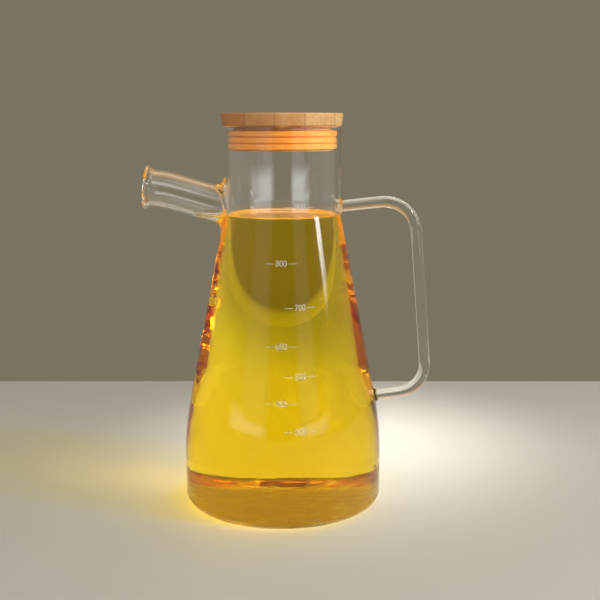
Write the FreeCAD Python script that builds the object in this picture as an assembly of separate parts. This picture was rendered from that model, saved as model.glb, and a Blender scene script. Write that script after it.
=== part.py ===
import FreeCAD, Part
import math
import os

# Oil dispenser: a conical jug of clear glass with a short tube spout and a rod handle, both
# fused to it, closed by a bamboo lid whose plug carries a ribbed silicone ring, and filled
# with oil up to the foot of the neck.
#
# Millimetres. The origin is the centre of the jug's underside and +Z is up. The spout points
# to -X and the handle stands out to +X.

V = FreeCAD.Vector

# ---- Driving dimensions ----

# Glass vessel, outside sizes
BODY_R = 52.8              # radius of the straight foot of the body
NECK_R = 30.4              # radius of the neck
KNEE_Z = 40.5              # height where the lines of the body's side and of the cone meet
KNEE_ROUND = 160.0         # radius of the long curve between them
CONE_H = 115.5             # from the knee up to the shoulder
SHOULDER_ROUND = 22.0      # radius of the hollow curve between the cone and the neck
NECK_H = 44.3              # from the shoulder up to the rim
FOOT_ROUND = 5.0           # outside radius of the bottom corner
WALL = 2.0                 # thickness of the side wall
FLOOR = 4.0                # thickness of the floor
CAVITY_ROUND = 5.5         # inside radius of the bottom corner
RIM_ROUND = 0.8            # radius of the rim's two edges

# Spout, a tube that rises away from the neck and levels out before its lip
SPOUT_R = 9.5              # outside radius
SPOUT_WALL = 1.8
SPOUT_ABOVE_SHOULDER = 2.8 # height of the tube's axis where it leaves the neck
SPOUT_RISE = 16.0          # degrees, next to the neck
SPOUT_TIP_RISE = 6.0       # degrees, at the lip
SPOUT_BEND_AT = 31.0       # from the neck's side out to the bend, along X
SPOUT_BEND_ROUND = 50.0    # radius of the bend along the axis
SPOUT_REACH = 41.3         # from the neck's side out to the lip, along X
SPOUT_WELD = 4.0           # radius of the hollow blend where the tube meets the neck
BORE_WELD = 1.5            # radius of the same blend inside
LIP_FLARE = 1.7            # how far the lip stands out past the tube
LIP_LENGTH = 3.4           # length of the flare
LIP_LEAD = 1.4             # straight length before the flare, made with the lip
LIP_ROUND = 0.75           # radius of the lip's edges
FLARE_ROUND = 2.5          # radius of the curve from the tube into the flare

# Handle, a bent rod
ROD_R = 3.0
HANDLE_ABOVE_SHOULDER = 2.8   # height of the upper arm's axis at the neck's side
HANDLE_TOP_RISE = 6.0         # degrees that the upper arm rises outwards
HANDLE_TOP_ROUND = 17.0       # radius of the upper corner along the axis
HANDLE_OUT = 25.1             # from the body's side out to the grip's axis, at the lower arm
HANDLE_LEAN = 4.7             # degrees that the grip leans inwards as it goes up
HANDLE_LOW_Z = 57.0           # height of the lower arm's axis at the body's side
HANDLE_LOW_RISE = 7.5         # degrees that the lower arm rises outwards
HANDLE_LOW_ROUND = 15.5       # radius of the lower corner along the axis
HANDLE_WELD = 1.6             # radius of the hollow blend where each arm meets the wall

# Lid, turned from laminated bamboo
LID_T = 6.5                # thickness of the disc
LID_OVERHANG = 1.5         # from the neck's side out to the disc's top edge
LID_TAPER = 0.9            # how much less the disc's radius is at its underside
LID_ROUND = 0.9            # radius of the disc's edges
PLUG_DEPTH = 12.6          # from the disc down to the plug's underside
PLUG_LIP_T = 0.8           # height of the ledge under the ring
PLUG_LIP_W = 0.9           # how far that ledge stands out past the groove
PLUG_LIP_ROUND = 0.35

# Silicone ring in the plug's groove
RING_GAP = 0.15            # between the ribs and the neck's inside
RING_SLEEVE = 2.0          # thickness of the sleeve between the ribs
RIB_DEPTH = 1.0            # how far a rib stands out from the sleeve
RIB_COUNT = 3
RIB_TIP = 2.5              # height of a rib's tip
RIB_ROOT = 2.7             # height of a rib's root
RIB_ROUND = 0.2
RING_TOP_GAP = 2.2         # between the ring and the disc

# Oil
OIL_BELOW_SHOULDER = 2.0   # how far the oil stands below the shoulder
OIL_GAP = 0.05             # between the oil and the glass at the sides

# ---- Sizes that follow from them ----

SHOULDER_Z = KNEE_Z + CONE_H
RIM_Z = SHOULDER_Z + NECK_H
CONE_ANGLE = math.atan((BODY_R - NECK_R) / CONE_H)
OIL_Z = SHOULDER_Z - OIL_BELOW_SHOULDER
BORE_R = SPOUT_R - SPOUT_WALL
LIP_R = SPOUT_R + LIP_FLARE
NECK_INSIDE_R = NECK_R - WALL
INTO_NECK = WALL + 6.0     # how far the tube and the rod run in past the wall before it is cut
PAST_END = 5.0             # how far a cutting shape runs past what it cuts
ON_SURFACE = 1e-4          # a point nearer to a surface than this lies on it


# ---- Geometry helpers ----

def at_angle(degrees):
    """Unit vector in the XZ plane, measured from +X towards +Z."""
    return V(math.cos(math.radians(degrees)), 0, math.sin(math.radians(degrees)))


def meeting_point(point_a, angle_a, point_b, angle_b):
    """Where two lines of the XZ plane cross, each given by a point and an angle."""
    along_a, along_b = at_angle(angle_a), at_angle(angle_b)
    gap = point_b - point_a
    turn = along_a.x * along_b.z - along_a.z * along_b.x
    return point_a + along_a * ((gap.x * along_b.z - gap.z * along_b.x) / turn)


def corner_arc(before, corner, after, radius):
    """Start, middle and end of the arc that rounds a corner and is tangent to both sides."""
    back = (before - corner).normalize()
    ahead = (after - corner).normalize()
    half = back.getAngle(ahead) / 2
    reach = radius / math.tan(half)
    middle = corner + (back + ahead).normalize() * (radius / math.sin(half) - radius)
    return corner + back * reach, middle, corner + ahead * reach


def joined_edges(stops, closed):
    """Edges through a list of stops, each a single point or the three points of an arc."""
    edges = []
    for number, stop in enumerate(stops):
        if len(stop) == 3:
            edges.append(Part.Arc(*stop).toShape())
        if closed or number + 1 < len(stops):
            start, end = stop[-1], stops[(number + 1) % len(stops)][0]
            edges.append(Part.LineSegment(start, end).toShape())
    return Part.Wire(edges)


def outline(corners):
    """Closed face in the XZ plane through corners (x, z, radius of its rounding)."""
    points = [V(x, 0, z) for x, z, _ in corners]
    stops = []
    for number, (_, _, radius) in enumerate(corners):
        before, corner = points[number - 1], points[number]
        after = points[(number + 1) % len(points)]
        stops.append(corner_arc(before, corner, after, radius) if radius else (corner,))
    return Part.Face(joined_edges(stops, closed=True))


def turned(corners):
    """Solid of revolution about the Z axis."""
    return outline(corners).revolve(V(0, 0, 0), V(0, 0, 1), 360)


def rod(points, bends, radius):
    """Round rod along straight runs joined by tangent arcs, one bend radius per inner point."""
    stops = [(points[0],)]
    for number, bend in enumerate(bends, start=1):
        stops.append(corner_arc(points[number - 1], points[number], points[number + 1], bend))
    stops.append((points[-1],))
    path = joined_edges(stops, closed=False)
    section = Part.Wire(Part.Circle(points[0], points[1] - points[0], radius).toShape())
    return path.makePipeShell([section], True, False)


def blended(solid, first, second, radius):
    """Round the edges of a solid that lie on the surfaces of both given shapes."""
    shells = [Part.makeCompound(shape.Shells) for shape in (first, second)]
    seams = []
    for edge in solid.Edges:
        middle = Part.Vertex(edge.valueAt((edge.FirstParameter + edge.LastParameter) / 2))
        if all(middle.distToShape(shell)[0] < ON_SURFACE for shell in shells):
            seams.append(edge)
    return solid.makeFillet(radius, seams)


# ---- Glass ----

def vessel_side(inset):
    """Corners of the body's side, knee and shoulder, moved in by a wall of even thickness."""
    drop = inset * math.tan(CONE_ANGLE / 2)
    return [
        (BODY_R - inset, KNEE_Z - drop, KNEE_ROUND - inset),
        (NECK_R - inset, SHOULDER_Z - drop, SHOULDER_ROUND + inset),
    ]


def vessel():
    """The vessel's outside as a full solid."""
    bottom = [(0, 0, 0), (BODY_R, 0, FOOT_ROUND)]
    top = [(NECK_R, RIM_Z, RIM_ROUND), (0, RIM_Z, 0)]
    return turned(bottom + vessel_side(0) + top)


def cavity():
    """The vessel's inside, opening out over the rim's inner edge."""
    bottom = [(0, FLOOR, 0), (BODY_R - WALL, FLOOR, CAVITY_ROUND)]
    top = [
        (NECK_INSIDE_R, RIM_Z, RIM_ROUND),
        (NECK_R - WALL / 2, RIM_Z, 0),
        (NECK_R - WALL / 2, RIM_Z + PAST_END, 0),
        (0, RIM_Z + PAST_END, 0),
    ]
    return turned(bottom + vessel_side(WALL) + top)


def spout_points(past_lip):
    """The spout's axis: inside the neck, at the bend, and a given way past the lip."""
    leave = V(-NECK_R, 0, SHOULDER_Z + SPOUT_ABOVE_SHOULDER)
    outwards, level = at_angle(180 - SPOUT_RISE), at_angle(180 - SPOUT_TIP_RISE)
    start = leave - outwards * INTO_NECK
    bend = leave + outwards * (SPOUT_BEND_AT / abs(outwards.x))
    lip = bend + level * ((SPOUT_REACH - SPOUT_BEND_AT) / abs(level.x) + past_lip)
    return [start, bend, lip]


def at_lip(shape):
    """Move a shape turned about the Z axis so that its height 0 is the lip's face."""
    placement = FreeCAD.Placement(
        spout_points(0)[-1], FreeCAD.Rotation(V(0, 0, 1), at_angle(180 - SPOUT_TIP_RISE)))
    moved = shape.copy()
    moved.Placement = placement
    return moved


def spout_tube():
    """The spout's outside as a full solid, with its flared lip."""
    tube = rod(spout_points(-LIP_LENGTH - LIP_LEAD), [SPOUT_BEND_ROUND], SPOUT_R)
    lip = turned([
        (0, -LIP_LENGTH - LIP_LEAD, 0),
        (SPOUT_R, -LIP_LENGTH - LIP_LEAD, 0),
        (SPOUT_R, -LIP_LENGTH, FLARE_ROUND),
        (LIP_R, -2 * LIP_ROUND, LIP_ROUND),
        (LIP_R, 0, LIP_ROUND),
        (0, 0, 0),
    ])
    return tube.fuse(at_lip(lip)).removeSplitter()


def spout_bore():
    """The spout's inside, widening at the lip and running past it."""
    bore = rod(spout_points(-LIP_LENGTH - LIP_LEAD), [SPOUT_BEND_ROUND], BORE_R)
    mouth_r = LIP_R - SPOUT_WALL / 2
    mouth = turned([
        (0, -LIP_LENGTH - LIP_LEAD, 0),
        (BORE_R, -LIP_LENGTH - LIP_LEAD, 0),
        (BORE_R, -LIP_LENGTH + SPOUT_WALL / 2, FLARE_ROUND + SPOUT_WALL),
        (mouth_r, 0, 0),
        (mouth_r, PAST_END, 0),
        (0, PAST_END, 0),
    ])
    return bore.fuse(at_lip(mouth)).removeSplitter()


def handle_rod():
    """The handle: upper arm, grip and lower arm, running in past the wall at both ends."""
    upper = V(NECK_R, 0, SHOULDER_Z + HANDLE_ABOVE_SHOULDER)
    lower = V(BODY_R, 0, HANDLE_LOW_Z)
    grip = V(BODY_R + HANDLE_OUT, 0, HANDLE_LOW_Z)
    points = [
        upper - at_angle(HANDLE_TOP_RISE) * INTO_NECK,
        meeting_point(upper, HANDLE_TOP_RISE, grip, 90 + HANDLE_LEAN),
        meeting_point(lower, HANDLE_LOW_RISE, grip, 90 + HANDLE_LEAN),
        lower - at_angle(HANDLE_LOW_RISE) * (INTO_NECK + FOOT_ROUND),
    ]
    return rod(points, [HANDLE_TOP_ROUND, HANDLE_LOW_ROUND], ROD_R)


def glass_jug():
    """Vessel, spout and handle as one piece of glass."""
    body, tube, handle, inside, bore = vessel(), spout_tube(), handle_rod(), cavity(), spout_bore()
    jug = blended(body.fuse(tube), body, tube, SPOUT_WELD)
    jug = blended(jug.fuse(handle), body, handle, HANDLE_WELD)
    jug = jug.cut(inside).cut(bore)
    return blended(jug, inside, bore, BORE_WELD)


# ---- Contents and lid ----

def oil():
    """What the jug holds up to the oil's level, in the cavity and the root of the spout."""
    inset = WALL + OIL_GAP
    bottom = [(0, FLOOR, 0), (BODY_R - inset, FLOOR, CAVITY_ROUND - OIL_GAP)]
    top = [(NECK_R - inset, RIM_Z, 0), (0, RIM_Z, 0)]
    in_cavity = turned(bottom + vessel_side(inset) + top)
    in_spout = rod(spout_points(0), [SPOUT_BEND_ROUND], BORE_R - OIL_GAP)
    level = Part.makeCylinder(BODY_R + SPOUT_REACH, OIL_Z)
    return in_cavity.fuse(in_spout).common(level)


def plug_groove_r():
    """Radius at the bottom of the plug's groove, which the ring sits on."""
    return NECK_INSIDE_R - RING_GAP - RIB_DEPTH - RING_SLEEVE


def bamboo_lid():
    """Disc that rests on the rim, with its plug and the groove for the ring."""
    plug_bottom = RIM_Z - PLUG_DEPTH
    ledge_r = plug_groove_r() + PLUG_LIP_W
    top_r = NECK_R + LID_OVERHANG
    return turned([
        (0, plug_bottom, 0),
        (ledge_r, plug_bottom, PLUG_LIP_ROUND),
        (ledge_r, plug_bottom + PLUG_LIP_T, 0),
        (plug_groove_r(), plug_bottom + PLUG_LIP_T, 0),
        (plug_groove_r(), RIM_Z, 0),
        (top_r - LID_TAPER, RIM_Z, LID_ROUND),
        (top_r, RIM_Z + LID_T, LID_ROUND),
        (0, RIM_Z + LID_T, 0),
    ])


def silicone_ring():
    """Sleeve in the plug's groove with evenly spaced ribs that face the glass."""
    bottom = RIM_Z - PLUG_DEPTH + PLUG_LIP_T
    top = RIM_Z - RING_TOP_GAP
    inner = plug_groove_r()
    sleeve = inner + RING_SLEEVE
    tip = sleeve + RIB_DEPTH
    pitch = (top - bottom) / RIB_COUNT
    side = [(inner, bottom, 0), (sleeve, bottom, 0)]
    for number in range(RIB_COUNT):
        middle = bottom + (number + 0.5) * pitch
        side += [
            (sleeve, middle - RIB_ROOT / 2, RIB_ROUND),
            (tip, middle - RIB_TIP / 2, RIB_ROUND),
            (tip, middle + RIB_TIP / 2, RIB_ROUND),
            (sleeve, middle + RIB_ROOT / 2, RIB_ROUND),
        ]
    return turned(side + [(sleeve, top, 0), (inner, top, 0)])


# ---- Output ----

os.makedirs("parts", exist_ok=True)
NODES = {
    "glass_jug": glass_jug(),
    "oil": oil(),
    "bamboo_lid": bamboo_lid(),
    "silicone_ring": silicone_ring(),
}
for node, shape in NODES.items():
    solid = shape.Solids[0]
    solid.exportStep("parts/" + node + ".step")
    print(node, len(shape.Solids), "solid", solid.isValid(), round(solid.Volume / 1000, 2), "ml")
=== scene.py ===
import math

import bpy
import numpy as np
from bpy.props import FloatProperty, FloatVectorProperty, IntProperty, PointerProperty
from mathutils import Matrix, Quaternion, Vector


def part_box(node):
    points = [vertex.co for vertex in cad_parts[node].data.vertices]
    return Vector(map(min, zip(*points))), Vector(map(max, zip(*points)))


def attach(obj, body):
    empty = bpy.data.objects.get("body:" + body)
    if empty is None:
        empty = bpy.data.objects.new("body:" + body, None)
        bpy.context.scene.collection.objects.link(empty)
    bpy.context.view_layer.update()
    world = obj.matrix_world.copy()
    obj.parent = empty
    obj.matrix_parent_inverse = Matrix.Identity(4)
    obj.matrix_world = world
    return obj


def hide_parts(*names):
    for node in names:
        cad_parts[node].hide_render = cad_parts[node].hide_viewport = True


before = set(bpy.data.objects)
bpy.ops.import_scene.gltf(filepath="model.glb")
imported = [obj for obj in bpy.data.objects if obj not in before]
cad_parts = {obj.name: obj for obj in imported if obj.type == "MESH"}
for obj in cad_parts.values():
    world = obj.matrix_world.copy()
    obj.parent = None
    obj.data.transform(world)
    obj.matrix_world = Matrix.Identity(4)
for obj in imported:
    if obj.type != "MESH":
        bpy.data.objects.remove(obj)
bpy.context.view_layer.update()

bl_info = {
    "name": "Oil dispenser",
    "version": (1, 0, 0),
    "blender": (4, 5, 0),
    "location": "View3D > Sidebar > Oil dispenser",
    "description": "Glass oil jug with a bamboo lid, a silicone ring, a printed scale and its oil",
    "category": "Add Mesh",
}

MM = 0.001
BODY = "root"

GLASS_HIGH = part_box("glass_jug")[1]
OIL_LOW, OIL_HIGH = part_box("oil")
LID_LOW, LID_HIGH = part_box("bamboo_lid")
RING_LOW, RING_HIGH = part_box("silicone_ring")

# Sizes that the frame gives
BODY_R = GLASS_HIGH.y
RIM_Z = GLASS_HIGH.z
FLOOR_T = OIL_LOW.z
OIL_Z = OIL_HIGH.z
LID_R = LID_HIGH.y
LID_TOP = LID_HIGH.z
PLUG_BOTTOM = LID_LOW.z


# ---- Sizes and colours that a user would change ----

def length(name, text, value):
    """A property that is a length in metres, given here in millimetres."""
    return FloatProperty(name=name, description=text, default=value * MM, unit="LENGTH",
                         precision=5)


def colour(name, text, value):
    """A property that is a linear colour."""
    return FloatVectorProperty(name=name, description=text, default=value, subtype="COLOR",
                               min=0, max=1, size=3)


class JugSizes(bpy.types.PropertyGroup):
    wall: length("Wall", "Thickness of the side wall", 2.0)
    neck_r: length("Neck radius", "Outside radius of the neck", 30.4)
    knee_z: length("Knee height", "Where the foot's and the cone's lines meet", 40.5)
    knee_round: length("Knee curve", "Radius of the long curve at the knee", 160.0)
    shoulder_z: length("Shoulder height", "Where the cone's and the neck's lines meet", 156.0)
    shoulder_round: length("Shoulder curve", "Radius of the hollow curve under the neck", 22.0)
    cavity_round: length("Inner corner", "Radius of the cavity's bottom corner", 5.5)
    ior: FloatProperty(name="IOR", description="Refraction of borosilicate glass", default=1.47)


class OilSizes(bpy.types.PropertyGroup):
    reach: length("Reach into glass", "How far the oil runs into the wall", 0.35)
    meniscus: length("Meniscus", "How far the oil climbs up the glass", 1.3)
    capillary: length("Meniscus width", "How far from the wall the climb fades", 1.5)
    bore_r: length("Spout bore", "Inside radius of the spout", 7.7)
    spout_z: length("Spout height", "Height of the spout's axis at the neck's side", 158.8)
    spout_rise: FloatProperty(name="Spout rise", description="Slope of the spout at the neck",
                              default=math.radians(16), subtype="ANGLE")
    tint: colour("Tint", "Colour that a long way through the oil keeps", (0.990, 0.943, 0.02))
    density: FloatProperty(name="Density", description="Absorption per metre", default=75.0)


class LidSizes(bpy.types.PropertyGroup):
    taper: length("Taper", "How much less the disc's radius is at its underside", 0.9)
    edge_round: length("Edge", "Radius of the disc's edges", 0.9)
    groove_r: length("Groove", "Radius of the plug where the ring sits", 25.25)
    ledge_w: length("Ledge", "How far the ledge under the ring stands out", 0.9)
    ledge_t: length("Ledge height", "Height of that ledge", 0.8)
    strip_w: length("Strip", "Width of one laminated strip", 14.9)
    strip_at: length("Seam place", "Distance of one seam from the middle", -3.1)
    seam_depth: length("Seam depth", "Depth of the fine groove at a seam", 0.1)
    seam_w: length("Seam width", "Half width of that groove", 0.3)
    # The strips go from pale on the +X side to dark on the -X side: painted light and painted shade
    # across the lid. The dark colour also tints the grain bands.
    pale: colour("Pale bamboo", "Colour of the lightest strip", (0.86, 0.57, 0.235))
    dark: colour("Dark bamboo", "Colour of the darkest strip", (0.58, 0.18, 0.035))


class RingSizes(bpy.types.PropertyGroup):
    sleeve: length("Sleeve", "Thickness of the sleeve between the ribs", 2.0)
    rib_depth: length("Rib depth", "How far a rib stands out", 1.0)
    rib_tip: length("Rib tip", "Height of a rib's tip", 2.5)
    rib_root: length("Rib root", "Height of a rib's root", 2.7)
    rib_round: length("Rib edge", "Radius of a rib's edges", 0.2)
    ribs: IntProperty(name="Ribs", description="Number of ribs", default=3)
    tint: colour("Silicone", "Colour of the silicone", (0.90, 0.34, 0.03))
    cloudy: colour("Cloudy silicone", "Colour of its paler clouds", (0.92, 0.40, 0.05))


class ScaleSizes(bpy.types.PropertyGroup):
    digit_h: length("Digit height", "Height of the printed numbers", 3.0)
    number_w: length("Number width", "Width of a printed number", 5.5)
    tick_w: length("Tick width", "Length of the line on each side of a number", 4.2)
    tick_t: length("Tick height", "Thickness of that line", 0.28)
    tick_gap: length("Tick gap", "Room between a number and its lines", 0.9)
    column: length("Second column", "How far the odd hundreds stand to the right", 9.5)
    film: length("Film", "Thickness of the print", 0.04)
    ink: colour("Ink", "Colour of the print", (0.86, 0.86, 0.82))
    worn: colour("Worn ink", "Colour of the print where it is worn", (0.62, 0.62, 0.56))


class StageLook(bpy.types.PropertyGroup):
    floor: colour("Floor", "Colour of the pale floor", (0.62, 0.60, 0.52))
    wall: colour("Background", "Colour behind the floor", (0.195, 0.172, 0.122))
    low: colour("Low background", "Colour of the room well below the floor", (0.45, 0.41, 0.30))
    warm: colour("Warm background", "Colour of the room above the wall", (0.44, 0.255, 0.11))
    ceiling: colour("High background", "Colour of the room well above the jug", (0.75, 0.62, 0.44))
    sides: colour("Side background", "Colour of the room far to either side", (0.42, 0.40, 0.34))
    back_edge: length("Floor's back edge", "How far behind the jug the floor ends", 248.0)
    edge_round: length("Floor's edge", "Radius of the floor's back edge", 6.0)
    floor_gap: length("Floor gap", "How far under the jug the floor lies", 0.3)
    eye: FloatVectorProperty(name="Camera", description="Place of the camera", size=3,
                             default=(0.0093, -0.525, 0.2032), subtype="TRANSLATION", precision=5)
    look_down: FloatProperty(name="Look down", description="How far the camera tilts down",
                             default=math.radians(10.2), subtype="ANGLE")


GROUPS = {
    "jug": JugSizes, "oil": OilSizes, "lid": LidSizes, "ring": RingSizes, "scale": ScaleSizes,
    "stage": StageLook,
}


def settings(name):
    """The property group of that name on the scene."""
    return getattr(bpy.context.scene, "oil_dispenser_" + name)


# ---- Meshes ----

def grid_mesh(name, points, close_rows=True, first_pole=True, last_pole=True):
    """Mesh over a grid of points, rows by columns.

    Neighbouring rows and columns are joined by quads. The columns go all the way round when
    close_rows is true. A pole replaces the first or the last row by one shared point, its mean.
    """
    rows, columns = points.shape[:2]
    index = np.arange(rows * columns).reshape(rows, columns)
    ahead = np.roll(index, -1, axis=1)
    if not close_rows:
        index, ahead = index[:, :-1], ahead[:, :-1]
    quads = np.stack([index[:-1], ahead[:-1], ahead[1:], index[1:]], axis=-1).reshape(-1, 4)
    vertices = points.reshape(-1, 3)
    faces = quads.tolist()
    if first_pole:
        pole = len(vertices)
        vertices = np.vstack([vertices, points[0].mean(axis=0)])
        faces += np.stack([ahead[0], index[0], np.full(len(index[0]), pole)], axis=-1).tolist()
    if last_pole:
        pole = len(vertices)
        vertices = np.vstack([vertices, points[-1].mean(axis=0)])
        faces += np.stack([index[-1], ahead[-1], np.full(len(index[-1]), pole)], axis=-1).tolist()
    mesh = bpy.data.meshes.new(name)
    mesh.from_pydata(vertices.tolist(), [], faces)
    mesh.validate()
    mesh.shade_smooth()
    return mesh


def add_object(name, mesh, *materials):
    """Link a mesh to the scene with its object at the origin."""
    piece = bpy.data.objects.new(name, mesh)
    bpy.context.scene.collection.objects.link(piece)
    for material in materials:
        mesh.materials.append(material)
    return piece


def add_piece(name, mesh, material, slot, *nodes):
    """A finished piece of the dispenser: it rides on the body and stands for CAD nodes."""
    piece = add_object(name, mesh, material)
    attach(piece, BODY)
    if nodes:
        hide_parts(*nodes)
    return piece


def rounded_profile(corners, arc_step, line_step):
    """Points (radius, height) along straight lines whose corners are rounded.

    Each corner is (radius, height, rounding). A rounding of r starts r / tan(half the angle)
    before the corner and follows the arc that touches both lines. Lines and arcs are divided
    into steps no longer than line_step and arc_step.
    """
    spots = np.array([corner[:2] for corner in corners], float)
    stops = [spots[:1]]
    for number in range(1, len(corners) - 1):
        corner, rounding = spots[number], corners[number][2]
        back = spots[number - 1] - corner
        ahead = spots[number + 1] - corner
        back /= np.linalg.norm(back)
        ahead /= np.linalg.norm(ahead)
        half = math.acos(np.clip(back @ ahead, -1, 1)) / 2
        if not rounding:
            stops.append(corner[None])
            continue
        centre = corner + (back + ahead) / np.linalg.norm(back + ahead) * rounding / math.sin(half)
        reach = rounding / math.tan(half)
        start, end = corner + back * reach - centre, corner + ahead * reach - centre
        turn = math.pi - 2 * half
        parts = max(3, math.ceil(turn * rounding / arc_step))
        share = np.linspace(0, 1, parts + 1)[:, None]
        arc = (np.sin((1 - share) * turn) * start + np.sin(share * turn) * end) / math.sin(turn)
        stops.append(centre + arc)
    stops.append(spots[-1:])
    points = [stops[0]]
    for before, after in zip(stops, stops[1:]):
        gap = np.linalg.norm(after[0] - before[-1])
        parts = max(1, math.ceil(gap / line_step))
        share = np.linspace(0, 1, parts + 1)[1:-1, None]
        points += [before[-1] + share * (after[0] - before[-1]), after]
    return np.vstack(points)


def turned(profile, angles):
    """Grid of a profile turned about the Z axis: x = r cos a, y = r sin a, z = z."""
    radius, height = profile[:, :1], profile[:, 1:2]
    return np.stack([
        radius * np.cos(angles), radius * np.sin(angles), height + 0 * angles], axis=-1)


def full_turn(columns):
    """Evenly spaced angles round the axis."""
    return np.arange(columns) * 2 * math.pi / columns


# ---- The jug's side, which the oil and the print follow ----

def side_corners(inset):
    """Corners of the body's side moved in by an even wall, as (radius, height, rounding)."""
    jug = settings("jug")
    cone = math.atan((BODY_R - jug.neck_r) / (jug.shoulder_z - jug.knee_z))
    drop = inset * math.tan(cone / 2)
    return [
        (BODY_R - inset, jug.knee_z - drop, jug.knee_round - inset),
        (jug.neck_r - inset, jug.shoulder_z - drop, jug.shoulder_round + inset),
    ]


def outer_side():
    """Profile of the jug's outside from the foot to the rim."""
    corners = [(BODY_R, 0, 0), *side_corners(0), (settings("jug").neck_r, RIM_Z, 0)]
    return rounded_profile(corners, 0.5 * MM, 0.5 * MM)


# ---- Node helpers ----

def rgba(value):
    """A colour socket's value: a socket stays, a number is a grey, and a colour gets its alpha."""
    if isinstance(value, bpy.types.NodeSocket):
        return value
    return (*value, 1) if hasattr(value, "__len__") else (value, value, value, 1)


class Nodes:
    """A node tree with short calls to add and join nodes."""

    def __init__(self, tree):
        self.tree = tree

    def add(self, kind, inputs=None, **attributes):
        """A node of that kind. An input, by name or number, is a socket to join or a value."""
        node = self.tree.nodes.new(kind)
        for name, value in attributes.items():
            setattr(node, name, value)
        for name, value in (inputs or {}).items():
            if isinstance(value, bpy.types.NodeSocket):
                self.tree.links.new(value, node.inputs[name])
            else:
                node.inputs[name].default_value = value
        return node

    def object_place(self):
        """Object coordinates."""
        return self.add("ShaderNodeTexCoord").outputs["Object"]

    def place(self, scale=(1, 1, 1)):
        """Object coordinates, stretched."""
        return self.add("ShaderNodeMapping", {
            "Vector": self.object_place(), "Scale": scale}).outputs["Vector"]

    def parts(self, vector):
        """The X, Y and Z of a vector."""
        return self.add("ShaderNodeSeparateXYZ", {"Vector": vector}).outputs

    def noise(self, vector, scale, detail, roughness=0.5):
        return self.add("ShaderNodeTexNoise", {
            "Vector": vector, "Scale": scale, "Detail": detail, "Roughness": roughness,
        }).outputs["Fac"]

    def ramp(self, fac, *stops):
        """Colour or grey that changes along stops of (position, colour or grey)."""
        node = self.add("ShaderNodeValToRGB", {"Fac": fac})
        elements = node.color_ramp.elements
        while len(elements) < len(stops):
            elements.new(0.5)
        for element, (position, value) in zip(elements, stops):
            element.position = position
            element.color = rgba(value)
        return node.outputs["Color"]

    def span(self, value, start, end, low=0.0, high=1.0):
        """Value that goes from low to high as the given one goes from start to end."""
        return self.add("ShaderNodeMapRange", {
            "Value": value, "From Min": start, "From Max": end, "To Min": low, "To Max": high,
        }).outputs["Result"]

    def mix(self, fac, a, b):
        """Colour between a and b. Its factor and two colours are inputs 0, 6 and 7."""
        return self.add("ShaderNodeMix", {0: fac, 6: rgba(a), 7: rgba(b)},
                        data_type="RGBA").outputs[2]

    def mix_shaders(self, fac, first, second):
        return self.add("ShaderNodeMixShader", {0: fac, 1: first, 2: second}).outputs[0]

    def math(self, operation, *values, clamp=False):
        return self.add("ShaderNodeMath", dict(enumerate(values)), operation=operation,
                        use_clamp=clamp).outputs[0]

    def bump(self, height, strength, distance):
        return self.add("ShaderNodeBump", {
            "Height": height, "Strength": strength, "Distance": distance,
        }).outputs["Normal"]


class Finish(Nodes):
    """A new material and its node tree."""

    def __init__(self, name):
        self.material = bpy.data.materials.new(name)
        self.material.use_nodes = True
        super().__init__(self.material.node_tree)
        self.tree.nodes.clear()

    def shader(self, inputs):
        """The main shader with those inputs."""
        return self.add("ShaderNodeBsdfPrincipled", inputs).outputs[0]

    def end(self, surface, volume=None):
        """Give the material its surface, and its volume if it has one, and hand it over."""
        sockets = {"Surface": surface} if volume is None else {"Surface": surface, "Volume": volume}
        self.add("ShaderNodeOutputMaterial", sockets)
        return self.material

    def let_light_through(self, surface):
        """The surface, except that lamps' light passes straight through it to what it shades."""
        shadow = self.add("ShaderNodeLightPath").outputs["Is Shadow Ray"]
        clear = self.add("ShaderNodeBsdfTransparent", {"Color": (1, 1, 1, 1)}).outputs[0]
        return self.mix_shaders(shadow, surface, clear)


# ---- Materials ----

def clear_glass():
    """Blown borosilicate: smooth, clear, with a faint slow waviness and a rippled foot.

    Where the oil wets the inside, glass and oil bend light alike, so that wall bends nothing.
    A point is wetted when it is between the floor and the oil's level and nearer to the axis
    than the middle of the wall, which follows the straight foot and the cone.
    """
    jug = settings("jug")
    glass = Finish("clear_glass")
    x, y, z = glass.parts(glass.object_place())
    radius = glass.math("SQRT", glass.math(
        "ADD", glass.math("MULTIPLY", x, x), glass.math("MULTIPLY", y, y)))
    half = jug.wall / 2
    middle = glass.span(z, jug.knee_z, jug.shoulder_z, BODY_R - half, jug.neck_r - half)
    under = glass.math("LESS_THAN", z, OIL_Z)
    over = glass.math("GREATER_THAN", z, FLOOR_T / 2)
    inside = glass.math("LESS_THAN", radius, middle)
    wetted = glass.math("MULTIPLY", glass.math("MULTIPLY", under, over), inside)
    waves = glass.noise(glass.place(scale=(1, 1, 0.35)), 38, detail=1.0)
    foot = glass.span(z, FLOOR_T, FLOOR_T + 2 * MM, 6.5, 0.0)
    ripples = glass.noise(glass.place(scale=(1, 1, 1.8)), 150, detail=1.5)
    height = glass.math("MULTIPLY_ADD", ripples, foot, waves)
    return glass.end(glass.let_light_through(glass.shader({
        "Base Color": (1, 1, 1, 1), "Roughness": 0.0,
        "IOR": glass.math("MULTIPLY_ADD", wetted, 1 - jug.ior, jug.ior),
        "Transmission Weight": 1.0, "Normal": glass.bump(height, 0.25, 0.6 * MM),
    })))


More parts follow.
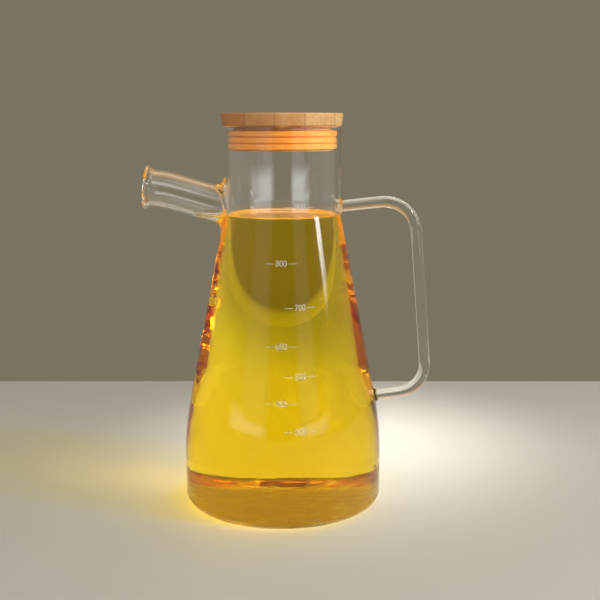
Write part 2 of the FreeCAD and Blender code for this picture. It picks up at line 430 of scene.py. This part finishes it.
def golden_oil():
    """Clear yellow oil, coloured only by the way that light goes through it.

    Its open surface bends light, and where it wets the glass it doesn't.
    """
    look = settings("oil")
    oil = Finish("golden_oil")
    z = oil.parts(oil.object_place())[2]
    on_top = oil.math("GREATER_THAN", z, OIL_Z - 0.1 * MM)
    surface = oil.let_light_through(oil.shader({
        "Base Color": (1, 1, 1, 1), "Roughness": 0.0,
        "IOR": oil.math("MULTIPLY_ADD", on_top, settings("jug").ior - 1, 1),
        "Transmission Weight": 1.0,
    }))
    return oil.end(surface, oil.add("ShaderNodeVolumeAbsorption", {
        "Color": rgba(look.tint), "Density": look.density,
    }).outputs[0])


def bamboo():
    """Laminated bamboo: strips of slightly different colour, long fibres and dark flecks, and a
    painted shade that darkens the strips step by step towards -X and lightens them towards +X.

    Places across the strips are counted in strips from one seam. The whole part is the strip,
    which sets the strip's colour: a small random difference plus the painted shade, and a seam
    is where the rest is near 0 or 1.
    """
    look = settings("lid")
    wood = Finish("bamboo")
    x = wood.parts(wood.object_place())[0]
    across = wood.math("DIVIDE", wood.math("SUBTRACT", x, look.strip_at), look.strip_w)
    strip = wood.math("FLOOR", across)
    odd = wood.add("ShaderNodeTexWhiteNoise", {"W": strip}, noise_dimensions="1D").outputs["Value"]
    # Painted shade: each strip further to -X is a step darker and each one further to +X a step
    # paler, with a small random difference per strip on top.
    painted_shade_and_tone = wood.math("MULTIPLY_ADD", strip, -0.22,
                     wood.math("MULTIPLY_ADD", odd, 0.2, 0.38), clamp=True)
    fibres = wood.noise(wood.place(scale=(1, 0.035, 0.6)), 1400, detail=4.0, roughness=0.6)
    bands = wood.noise(wood.place(scale=(1, 0.05, 0.8)), 260, detail=2.0)
    flecks = wood.noise(wood.place(scale=(1, 0.05, 1)), 2600, detail=1.0)
    # The strips' colours, carrying the painted light on the +X side and the painted shade on the -X
    # side.
    base = wood.mix(painted_shade_and_tone, look.pale, look.dark)
    shaded = wood.mix(wood.ramp(bands, (0.35, 0.0), (0.7, 0.4)), base, look.dark)
    grained = wood.mix(wood.ramp(fibres, (0.45, 0.0), (0.75, 0.4)), shaded, (0.40, 0.18, 0.05))
    flecked = wood.mix(wood.ramp(flecks, (0.66, 0.0), (0.74, 0.4)), grained, (0.28, 0.12, 0.04))
    edge = wood.math("ABSOLUTE", wood.math("SUBTRACT", wood.math("FRACT", across), 0.5))
    seam = wood.math("GREATER_THAN", edge, 0.487)
    seamed = wood.mix(wood.math("MULTIPLY", seam, 0.55), flecked, (0.2, 0.09, 0.03))
    return wood.end(wood.shader({
        "Base Color": seamed, "Roughness": wood.ramp(fibres, (0.3, 0.42), (0.8, 0.62)),
        "IOR": 1.5, "Coat Weight": 0.12, "Coat Roughness": 0.35,
        "Normal": wood.bump(fibres, 0.35, 0.2 * MM),
    }))


def silicone():
    """Soft translucent silicone with a slight sheen, cloudy colour and fine moulding texture."""
    look = settings("ring")
    rubber = Finish("silicone")
    cloud = rubber.noise(rubber.place(), 90, detail=2.0)
    fine = rubber.noise(rubber.place(), 1800, detail=2.0)
    tint = rubber.mix(rubber.ramp(cloud, (0.3, 0.0), (0.7, 0.35)), look.tint, look.cloudy)
    return rubber.end(rubber.shader({
        "Base Color": tint, "Roughness": rubber.ramp(fine, (0.3, 0.3), (0.7, 0.42)),
        "IOR": 1.41, "Subsurface Weight": 0.6, "Subsurface Radius": (1.0, 0.5, 0.2),
        "Subsurface Scale": 2 * MM, "Normal": rubber.bump(fine, 0.15, 0.1 * MM),
    }))


def scale_ink():
    """Thin fired print that the oil shows through, a little worn."""
    look = settings("scale")
    ink = Finish("scale_ink")
    wear = ink.noise(ink.place(), 900, detail=3.0)
    tint = ink.mix(ink.ramp(wear, (0.4, 0.0), (0.75, 0.4)), look.ink, look.worn)
    return ink.end(ink.shader({
        "Base Color": tint, "Roughness": ink.ramp(wear, (0.3, 0.35), (0.7, 0.55)), "IOR": 1.5,
        "Alpha": 0.42,
    }))


def plain_paint(name, tint, roughness):
    """A plain matt surface with a barely visible mottle."""
    paint = Finish(name)
    mottle = paint.noise(paint.place(), 6, detail=2.0)
    darker = tuple(channel * 0.97 for channel in tint)
    return paint.end(paint.shader({
        "Base Color": paint.mix(mottle, tint, darker), "Roughness": roughness,
        "Specular IOR Level": 0.25,
    }))


# ---- Pieces ----

class GlassJug(bpy.types.Operator):
    """Give the jug its glass"""
    bl_idname = "oil_dispenser.glass_jug"
    bl_label = "Glass jug"

    def execute(self, context):
        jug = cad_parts["glass_jug"]
        jug.data.materials.clear()
        jug.data.materials.append(clear_glass())
        return {"FINISHED"}


class Oil(bpy.types.Operator):
    """Fill the jug up to its level, with a meniscus and the wedge in the spout's root"""
    bl_idname = "oil_dispenser.oil"
    bl_label = "Oil"

    columns = 288
    fine_depth = 8 * MM
    fine_rows = 64
    surface_rows = 43

    def execute(self, context):
        side = self.side()
        angles = self.angles()
        radius = np.maximum(side[:, :1], self.spout_root(side[:, 1:], angles))
        surface_radius, surface_height = self.open_surface(radius[-1])
        radius = np.vstack([radius, surface_radius])
        height = np.vstack([np.repeat(side[:, 1:], len(angles), axis=1), surface_height])
        points = np.stack([radius * np.cos(angles), radius * np.sin(angles), height], axis=-1)
        mesh = grid_mesh("oil_fill", points)
        add_piece("oil_fill", mesh, golden_oil(), "golden_oil", "oil")
        return {"FINISHED"}

    def side(self):
        """Profile of the fill's underside and side, up to the top of the meniscus.

        It is the cavity's profile, moved out by the reach. From fine_depth under the level up,
        its rows are evenly spaced in height, and their radius is read off a finer profile.
        """
        oil, jug = settings("oil"), settings("jug")
        inset = jug.wall - oil.reach
        bottom = FLOOR_T - oil.reach
        corners = [
            (0, bottom, 0), (BODY_R - inset, bottom, jug.cavity_round + oil.reach),
            *side_corners(inset), (jug.neck_r - inset, RIM_Z, 0),
        ]
        coarse = rounded_profile(corners, 0.9 * MM, 1.1 * MM)
        coarse = coarse[coarse[:, 1] < OIL_Z - self.fine_depth]
        fine = rounded_profile(corners, 0.2 * MM, 0.2 * MM)
        heights = np.linspace(OIL_Z - self.fine_depth, OIL_Z + oil.meniscus, self.fine_rows)
        top = np.column_stack([np.interp(heights, fine[:, 1], fine[:, 0]), heights])
        return np.vstack([coarse, top])[1:]

    def angles(self):
        """Angles round the axis, closest together at the spout, which is at half a turn.

        With s from -1 to 1, the angle is pi + pi (0.4 s + 0.6 s^3).
        """
        share = np.linspace(-1, 1, self.columns + 1)[:-1]
        return math.pi + math.pi * (0.4 * share + 0.6 * share ** 3)

    def open_surface(self, rim):
        """Radii and heights of the oil's open surface, from near the wall to the axis.

        At distance d from the wall it stands meniscus * e^(-d / capillary) over the level.
        """
        oil = settings("oil")
        steps = (1 - np.geomspace(0.004, 1.0, self.surface_rows + 1))[:-1, None]
        radius = rim * steps
        return radius, OIL_Z + oil.meniscus * np.exp(-(rim - radius) / oil.capillary)

    def spout_root(self, height, angles):
        """How far from the Z axis the spout's bore lets the oil out, at a height and an angle.

        The bore is a tube of radius R about a line that leaves the neck at spout_z and rises by
        the angle s. A point at distance q from the axis, turned by f from the spout's side, is
        on the tube where (q sin f)^2 + cos(s)^2 (z - spout_z - (q cos f - neck) tan s)^2 = R^2.
        The larger q that solves this is returned, and nothing where there is none.
        """
        oil, jug = settings("oil"), settings("jug")
        bore = oil.bore_r + oil.reach
        slope, level = math.tan(oil.spout_rise), math.cos(oil.spout_rise)
        off = angles - math.pi
        lift = height - oil.spout_z + jug.neck_r * slope
        square = np.sin(off) ** 2 + (level * slope * np.cos(off)) ** 2
        middle = -level ** 2 * slope * np.cos(off) * lift
        rest = level ** 2 * lift ** 2 - bore ** 2
        inside = middle ** 2 - square * rest
        reach = (-middle + np.sqrt(np.maximum(inside, 0))) / square
        return np.where((inside > 0) & (np.cos(off) > 0.5), reach, 0)


class BambooLid(bpy.types.Operator):
    """Turn the lid and its plug from laminated strips with fine seams"""
    bl_idname = "oil_dispenser.bamboo_lid"
    bl_label = "Bamboo lid"

    columns = 480

    def execute(self, context):
        """Turn the profile, then cut the seams.

        A seam is a groove across the lid that goes in by depth * e^-(d / width)^2, towards the
        disc's middle, where d is the distance to the nearest seam along X.
        """
        lid = settings("lid")
        low_r = LID_R - lid.taper
        ledge_r = lid.groove_r + lid.ledge_w
        profile = rounded_profile([
            (0, PLUG_BOTTOM, 0), (ledge_r, PLUG_BOTTOM, 0.35 * MM),
            (ledge_r, PLUG_BOTTOM + lid.ledge_t, 0.12 * MM),
            (lid.groove_r, PLUG_BOTTOM + lid.ledge_t, 0.1 * MM),
            (lid.groove_r, RIM_Z, 0.15 * MM), (low_r, RIM_Z, lid.edge_round),
            (LID_R, LID_TOP, lid.edge_round), (0, LID_TOP, 0),
        ], 0.18 * MM, 0.55 * MM)[1:-1]
        points = turned(profile, full_turn(self.columns))
        away = points[..., 0] - lid.strip_at
        from_seam = away - np.round(away / lid.strip_w) * lid.strip_w
        groove = lid.seam_depth * np.exp(-(from_seam / lid.seam_w) ** 2)
        inwards = np.array([0, 0, (LID_TOP + RIM_Z) / 2]) - points
        inwards /= np.linalg.norm(inwards, axis=-1, keepdims=True)
        points = points + inwards * groove[..., None]
        add_piece("lid_bamboo", grid_mesh("lid_bamboo", points), bamboo(), "bamboo", "bamboo_lid")
        return {"FINISHED"}


class SiliconeRing(bpy.types.Operator):
    """Mould the ribbed ring that seals the plug"""
    bl_idname = "oil_dispenser.silicone_ring"
    bl_label = "Silicone ring"

    columns = 320
    end_round = 0.2 * MM

    def execute(self, context):
        ring, lid = settings("ring"), settings("lid")
        bottom, top = RING_LOW.z, RING_HIGH.z
        inner = lid.groove_r
        sleeve = inner + ring.sleeve
        tip = sleeve + ring.rib_depth
        pitch = (top - bottom) / ring.ribs
        side = [(sleeve, bottom, self.end_round)]
        for number in range(ring.ribs):
            middle = bottom + (number + 0.5) * pitch
            side += [
                (sleeve, middle - ring.rib_root / 2, ring.rib_round),
                (tip, middle - ring.rib_tip / 2, ring.rib_round),
                (tip, middle + ring.rib_tip / 2, ring.rib_round),
                (sleeve, middle + ring.rib_root / 2, ring.rib_round),
            ]
        start = ((inner + sleeve) / 2, bottom, 0)
        corners = [start, *side, (sleeve, top, self.end_round), (inner, top, self.end_round),
                   (inner, bottom, self.end_round), start]
        profile = rounded_profile(corners, 0.1 * MM, 0.5 * MM)[:-1]
        points = turned(np.vstack([profile, profile[:1]]), full_turn(self.columns))
        mesh = grid_mesh("ring_silicone", points, first_pole=False, last_pole=False)
        add_piece("ring_silicone", mesh, silicone(), "silicone", "silicone_ring")
        return {"FINISHED"}


class PrintedScale(bpy.types.Operator):
    """Print the numbered marks on the front of the glass"""
    bl_idname = "oil_dispenser.printed_scale"
    bl_label = "Printed scale"

    # Number and height in millimetres of each mark
    marks = ((900, 160.5), (800, 133.1), (700, 111.5), (600, 92.7), (500, 77.9), (400, 65.0),
             (300, 51.2))
    capital_share = 0.7  # A digit's height as a share of the type size
    tick_parts = 8
    off_glass = 0.02 * MM

    def execute(self, context):
        look = settings("scale")
        ink = scale_ink()
        for number, height in self.marks:
            shift = look.column if number // 100 % 2 else 0.0
            spots, faces = self.mark(str(number))
            mesh = bpy.data.meshes.new(f"scale_mark_{number}")
            mesh.from_pydata(self.wrapped(spots, height * MM, shift).tolist(), [], faces)
            piece = add_piece(f"scale_mark_{number}", mesh, ink, "clear_glass")
            film = piece.modifiers.new("film", "SOLIDIFY")
            film.thickness = look.film
            film.offset = 1
        return {"FINISHED"}

    def mark(self, text):
        """Points and faces of a flat number with a line on each side, centred on the origin."""
        look = settings("scale")
        spots, faces = self.flat_number(text)
        half = look.number_w / 2
        spots[:, 0] *= half / np.abs(spots[:, 0]).max()
        along = half + look.tick_gap + np.linspace(0, look.tick_w, self.tick_parts + 1)
        across = np.array([-0.5, 0.5])[:, None] * look.tick_t
        for way in (-1, 1):
            line = np.stack(np.broadcast_arrays(way * along[None, :], across, 0.0), axis=-1)
            low = len(spots) + np.arange(self.tick_parts)
            high = low + self.tick_parts + 1
            quads = np.stack([low, low + 1, high + 1, high], axis=-1)
            spots = np.vstack([spots, line.reshape(-1, 3)])
            faces += (quads if way > 0 else quads[:, ::-1]).tolist()
        return spots, faces

    def flat_number(self, text):
        """Points and faces of a number in the plain built-in type."""
        curve = bpy.data.curves.new("number", "FONT")
        curve.body = text
        curve.align_x = curve.align_y = "CENTER"
        curve.size = settings("scale").digit_h / self.capital_share
        writer = bpy.data.objects.new("number", curve)
        bpy.context.scene.collection.objects.link(writer)
        bpy.context.view_layer.update()
        mesh = bpy.data.meshes.new_from_object(
            writer.evaluated_get(bpy.context.evaluated_depsgraph_get()))
        bpy.data.objects.remove(writer)
        bpy.data.curves.remove(curve)
        spots = np.empty(len(mesh.vertices) * 3)
        mesh.vertices.foreach_get("co", spots)
        faces = [tuple(polygon.vertices) for polygon in mesh.polygons]
        bpy.data.meshes.remove(mesh)
        return spots.reshape(-1, 3), faces

    def wrapped(self, flat, height, shift):
        """Lay flat points on the jug's front.

        The flat height runs up the side, the flat width runs round it: the angle from the
        front is the width over the radius at that height.
        """
        side = outer_side()
        z = height + flat[:, 1]
        radius = np.interp(z, side[:, 1], side[:, 0]) + self.off_glass
        turn = (flat[:, 0] + shift) / radius
        return np.stack([radius * np.sin(turn), -radius * np.cos(turn), z], axis=-1)


class Lamp:
    """A soft rectangular lamp at a place, in metres, that looks at a target point.

    Its power is pi times its area times its brightness. Spread and roll are in degrees.
    """

    def __init__(self, name, place, target, size, brightness, tint=(1, 1, 1), spread=180, roll=0):
        self.name, self.place, self.target = name, Vector(place), Vector(target)
        self.size, self.brightness, self.tint = size, brightness, tint
        self.spread, self.roll = math.radians(spread), math.radians(roll)

    def light(self, collection):
        data = bpy.data.lights.new(self.name, "AREA")
        data.shape = "RECTANGLE"
        data.size, data.size_y = self.size
        data.energy = math.pi * data.size * data.size_y * self.brightness
        data.color = self.tint
        data.spread = self.spread
        self.fade_edges(data)
        lamp = bpy.data.objects.new(self.name, data)
        lamp.location = self.place
        lamp.visible_camera = False
        level = (self.target - self.place).normalized().to_track_quat("-Z", "Y")
        lamp.rotation_euler = (level @ Quaternion((0, 0, 1), self.roll)).to_euler()
        collection.objects.link(lamp)

    def fade_edges(self, data):
        """Dim the outer fifth of the lamp on each side.

        Across the lamp, with u from 0 to 1, the share of light is 5 (0.5 - |u - 0.5|), at most 1.
        """
        data.use_nodes = True
        nodes = Nodes(data.node_tree)
        across = nodes.parts(nodes.add("ShaderNodeNewGeometry").outputs["Parametric"])
        shares = []
        for u in across[:2]:
            from_middle = nodes.math("ABSOLUTE", nodes.math("SUBTRACT", u, 0.5))
            shares.append(nodes.math("MULTIPLY", nodes.math("SUBTRACT", from_middle, 0.5), -5.0,
                                     clamp=True))
        glow = data.node_tree.nodes["Emission"]
        data.node_tree.links.new(nodes.math("MULTIPLY", *shares), glow.inputs["Strength"])


LAMPS = (
    Lamp("key_window", (0.70, -0.28, 0.49), (0, 0, 0.45), (0.15, 0.60), 22.0, (1.0, 0.97, 0.92),
         roll=14),
    Lamp("left_window", (-0.55, -0.80, 0.36), (0, 0, 0.20), (0.70, 0.70), 0.5, (0.94, 0.97, 1.0)),
    Lamp("front_window", (0.52, -0.82, 0.36), (0, 0, 0.20), (0.50, 0.70), 0.5, (0.96, 0.98, 1.0)),
    Lamp("left_sill", (-0.79, -0.91, 0.065), (0, 0, 0.065), (1.1, 0.13), 2.0, (0.94, 0.97, 1.0)),
    Lamp("front_sill", (0.72, -0.96, 0.065), (0, 0, 0.065), (0.9, 0.13), 1.9, (0.96, 0.98, 1.0)),
    Lamp("front_fill", (-0.2, -0.9, 0.95), (0, 0, 0.15), (0.8, 0.5), 3.2),
    Lamp("overhead", (0.45, -0.22, 1.1), (0.2, -0.12, 0), (1.0, 0.8), 1.35, (1.0, 0.99, 0.97)),
    Lamp("right_side", (0.19, 0.24, 0.60), (0.04, 0.09, 0), (0.18, 0.18), 1.65, spread=21),
)


class Stage(bpy.types.Operator):
    """Set the floor, the background, the lamps and the camera"""
    bl_idname = "oil_dispenser.stage"
    bl_label = "Stage"

    floor_reach = 1.6
    floor_skirt = 0.04
    floor_columns = 9

    def execute(self, context):
        look = settings("stage")
        scene = context.scene
        scene.view_settings.view_transform = "Standard"
        # Light crosses many walls on its way through the filled jug.
        scene.cycles.max_bounces = 128
        scene.cycles.transmission_bounces = 128
        scene.cycles.glossy_bounces = 64
        scene.cycles.transparent_max_bounces = 32
        self.floor(look)
        self.world(scene, look)
        for lamp in LAMPS:
            lamp.light(scene.collection)
        self.camera(scene, look)
        return {"FINISHED"}

    def floor(self, look):
        """Slab with a rounded back edge: a profile of (distance back, height) carried along X."""
        reach, low = self.floor_reach, -look.floor_gap
        corners = [(-reach, low, 0), (look.back_edge, low, look.edge_round),
                   (look.back_edge, -self.floor_skirt, 0)]
        profile = rounded_profile(corners, 1.5 * MM, 400 * MM)
        along = np.linspace(-reach, reach, self.floor_columns)
        points = np.stack(np.broadcast_arrays(
            along[None, :], profile[:, :1], profile[:, 1:]), axis=-1)
        mesh = grid_mesh("floor", points, close_rows=False, first_pole=False, last_pole=False)
        add_object("floor", mesh, plain_paint("floor_paint", look.floor, 0.55))

    def world(self, scene, look):
        """Background colour for what is seen, and an even light for what is lit.

        The background changes with how steeply a direction rises, from -1 to 1, and turns
        paler far to either side.
        """
        world = bpy.data.worlds.new("studio")
        scene.world = world
        world.use_nodes = True
        world.node_tree.nodes.clear()
        nodes = Nodes(world.node_tree)
        x, _, z = nodes.parts(nodes.add("ShaderNodeTexCoord").outputs["Generated"])
        stops = ((-0.385, look.low), (-0.375, look.wall), (0.14, look.wall), (0.22, look.warm),
                 (0.42, look.warm), (0.80, look.ceiling))
        room = nodes.ramp(nodes.span(z, -1, 1), *(((rise + 1) / 2, tint) for rise, tint in stops))
        aside = nodes.span(nodes.math("ABSOLUTE", x), 0.74, 0.88)
        seen = nodes.add("ShaderNodeBackground", {"Color": nodes.mix(aside, room, look.sides)})
        light = nodes.add("ShaderNodeBackground", {
            "Color": (0.95, 0.97, 1.0, 1), "Strength": 0.25})
        path = nodes.add("ShaderNodeLightPath").outputs
        direct = nodes.math("MAXIMUM", path["Is Camera Ray"], path["Is Glossy Ray"])
        direct = nodes.math("MAXIMUM", direct, path["Is Transmission Ray"])
        nodes.add("ShaderNodeOutputWorld", {
            "Surface": nodes.mix_shaders(direct, light.outputs[0], seen.outputs[0])})

    def camera(self, scene, look):
        """Camera in front, looking back along Y and a little down."""
        data = bpy.data.cameras.new("camera")
        data.lens = 60
        data.sensor_width = 36
        data.clip_start = 10 * MM
        camera = bpy.data.objects.new("camera", data)
        camera.location = look.eye
        camera.rotation_euler = (math.pi / 2 - look.look_down, 0, 0)
        scene.collection.objects.link(camera)
        scene.camera = camera


PIECES = (GlassJug, Oil, BambooLid, SiliconeRing, PrintedScale, Stage)


class DispenserPanel(bpy.types.Panel):
    """Lists the dispenser's pieces and their sizes"""
    bl_idname = "VIEW3D_PT_oil_dispenser"
    bl_label = "Oil dispenser"
    bl_space_type = "VIEW_3D"
    bl_region_type = "UI"
    bl_category = "Oil dispenser"

    def draw(self, context):
        for piece in PIECES:
            self.layout.operator(piece.bl_idname)
        for name in GROUPS:
            column = self.layout.column(heading=name)
            for key in GROUPS[name].__annotations__:
                column.prop(settings(name), key)


def register():
    for kind in (*GROUPS.values(), *PIECES, DispenserPanel):
        bpy.utils.register_class(kind)
    for name, group in GROUPS.items():
        setattr(bpy.types.Scene, "oil_dispenser_" + name, PointerProperty(type=group))


def unregister():
    for name in GROUPS:
        delattr(bpy.types.Scene, "oil_dispenser_" + name)
    for kind in (*GROUPS.values(), *PIECES, DispenserPanel):
        bpy.utils.unregister_class(kind)


def main():
    register()
    for piece in PIECES:
        getattr(bpy.ops.oil_dispenser, piece.bl_idname.split(".")[1])()


if __name__ == "__main__":
    main()
